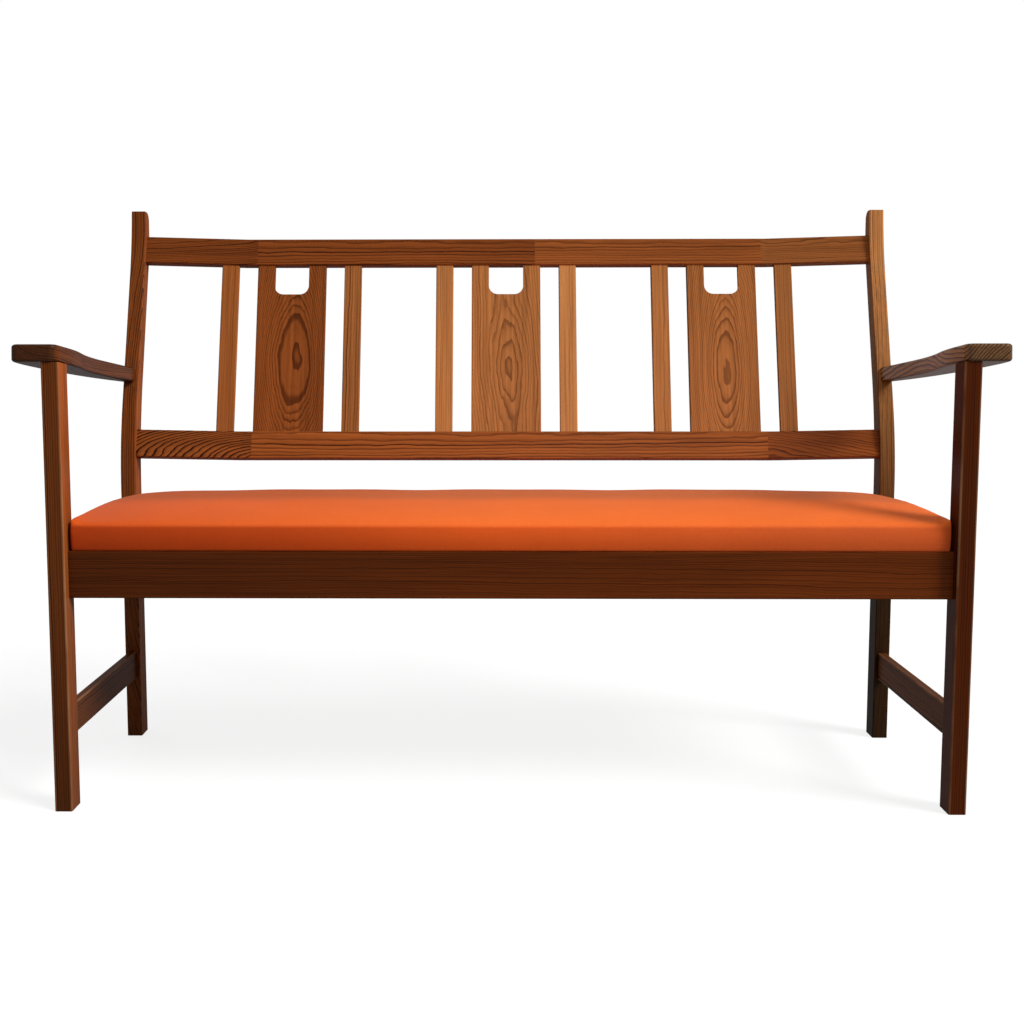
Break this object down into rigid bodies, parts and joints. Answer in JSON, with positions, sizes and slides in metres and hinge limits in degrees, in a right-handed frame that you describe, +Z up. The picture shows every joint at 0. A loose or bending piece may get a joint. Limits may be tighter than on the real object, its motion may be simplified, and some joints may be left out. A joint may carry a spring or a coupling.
{
  "type": "armed bench",
  "caption": "Low armed bench with a leaning, slightly bowed back of slats and notched splats, sloping paddle arms and an upholstered seat.",
  "frame": {"origin": "centre of the overall footprint, on the floor", "axes": "+X to the right of someone who faces the bench, +Y to the back, +Z up"},
  "size_m": [1.496, 0.6098, 0.967],
  "materials": {
    "pine_frame": "brown stained pine, thin satin lacquer",
    "pine_rail": "brown stained pine, thin satin lacquer",
    "pine_slat": "brown stained pine, thin satin lacquer",
    "raw_pine": "bare planed pine",
    "plywood": "bare plywood",
    "foam": "open-cell foam",
    "seat_fabric": "orange woven wool upholstery",
    "screw_steel": "zinc-plated steel"
  },
  "bodies": {
    "root": {"arm_left": "pine_frame", "arm_right": "pine_frame", "back_post_left": "pine_frame", "back_post_right": "pine_frame", "back_seat_rail": "pine_frame", "back_slat_1": "pine_slat", "back_slat_2": "pine_slat", "back_slat_3": "pine_slat", "back_slat_4": "pine_slat", "back_slat_5": "pine_slat", "back_slat_6": "pine_slat", "back_splat_centre": "pine_slat", "back_splat_left": "pine_slat", "back_splat_right": "pine_slat", "corner_block_back_left": "raw_pine", "corner_block_back_right": "raw_pine", "corner_block_front_left": "raw_pine", "corner_block_front_right": "raw_pine", "front_leg_left": "pine_frame", "front_leg_right": "pine_frame", "front_seat_rail": "pine_frame", "lower_back_rail_left_end": "pine_rail", "lower_back_rail_middle": "pine_rail", "lower_back_rail_right_end": "pine_rail", "seat_bearer_left": "raw_pine", "seat_bearer_right": "raw_pine", "seat_board": "plywood", "seat_board_screws": "screw_steel", "seat_cover": "seat_fabric", "seat_foam": "foam", "side_seat_rail_left": "pine_frame", "side_seat_rail_right": "pine_frame", "side_stretcher_left": "pine_frame", "side_stretcher_right": "pine_frame", "top_back_rail_left_end": "pine_rail", "top_back_rail_left_middle": "pine_rail", "top_back_rail_right_end": "pine_rail", "top_back_rail_right_middle": "pine_rail"}
  },
  "joints": []
}
